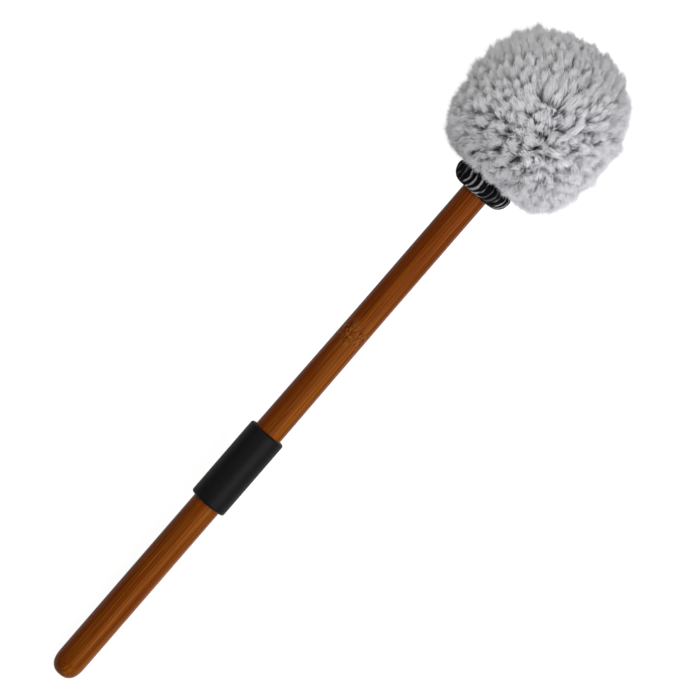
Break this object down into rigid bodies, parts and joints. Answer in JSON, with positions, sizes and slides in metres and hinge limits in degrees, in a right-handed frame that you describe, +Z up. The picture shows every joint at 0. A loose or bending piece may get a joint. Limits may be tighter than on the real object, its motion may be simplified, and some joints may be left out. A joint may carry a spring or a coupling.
{
  "type": "percussion mallet",
  "caption": "Soft-headed percussion mallet: tapered bamboo shaft with a push-on rubber grip sleeve, felt-wrapped wooden core under a deep fleece cover, and a gathered fabric collar.",
  "frame": {"origin": "centre of the mallet's outline in plan, at the level of the surface it lies on", "axes": "+X runs from the butt towards the head, +Z is up; the shaft's axis lies in the XZ plane and rises 5.3 degrees towards the head"},
  "size_m": [0.4241, 0.0868, 0.0856],
  "materials": {
    "bamboo": "clear gloss over carbonised bamboo",
    "sleeve_rubber": "matte",
    "core_wood": "bare, turned",
    "zinc": "zinc plated",
    "screw_steel": "zinc plated",
    "felt": "pressed wool felt",
    "fleece": "deep tufted pile, light grey",
    "thread": "waxed thread",
    "striped_cotton": "black woven cotton with light grey wavy stripes",
    "cord": "braided"
  },
  "bodies": {
    "mallet": {"bamboo_shaft": "bamboo", "head_core": "core_wood", "core_washer": "zinc", "core_screw": "screw_steel", "felt_wrap": "felt", "felt_crown": "felt", "felt_base": "felt", "fleece_cover": "fleece", "neck_binding": "thread", "collar_casing": "striped_cotton", "drawcord": "cord"},
    "sleeve": {"grip_sleeve": "sleeve_rubber"}
  },
  "joints": [
    {"name": "sleeve_slide", "type": "slide", "parent": "mallet", "child": "sleeve", "axis": [0.9957, 0, 0.0929], "range_m": [-0.076, 0.16]}
  ]
}
